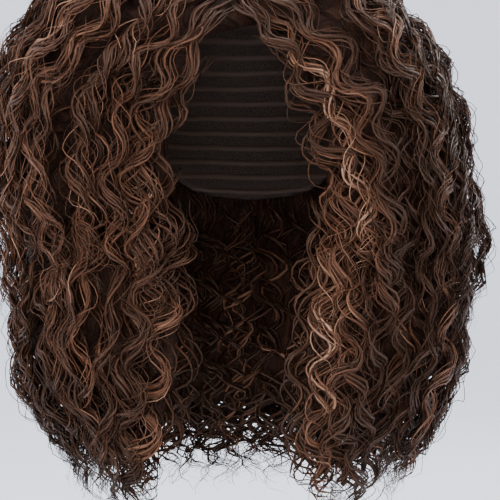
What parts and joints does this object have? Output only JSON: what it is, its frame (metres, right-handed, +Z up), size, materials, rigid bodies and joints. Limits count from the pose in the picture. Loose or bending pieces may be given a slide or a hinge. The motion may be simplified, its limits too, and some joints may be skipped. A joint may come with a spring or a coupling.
{
  "type": "long curly wig",
  "caption": "Long curly wig in dark brown with caramel streaks: a thin open cap under full wavy locks that fall from a parting, beside the face and round the neck.",
  "frame": {"origin": "inside of the cap at the crown of the head", "axes": "+Z up, the face looks towards -Y, +X to the wearer's left"},
  "size_m": [0.3455, 0.2639, 0.4048],
  "materials": {
    "cap_net": "matte",
    "crown_hair": "satin",
    "hanging_hair": "satin"
  },
  "bodies": {
    "root": {"cap": "cap_net", "crown_left_front": "crown_hair", "crown_left_side": "crown_hair", "crown_left_back": "crown_hair", "crown_right_back": "crown_hair", "crown_right_side": "crown_hair", "crown_right_front": "crown_hair", "hanging_left_front": "hanging_hair", "hanging_left_side": "hanging_hair", "hanging_left_back": "hanging_hair", "hanging_nape_left": "hanging_hair", "hanging_nape_right": "hanging_hair", "hanging_right_back": "hanging_hair", "hanging_right_side": "hanging_hair", "hanging_right_front": "hanging_hair"}
  },
  "joints": []
}
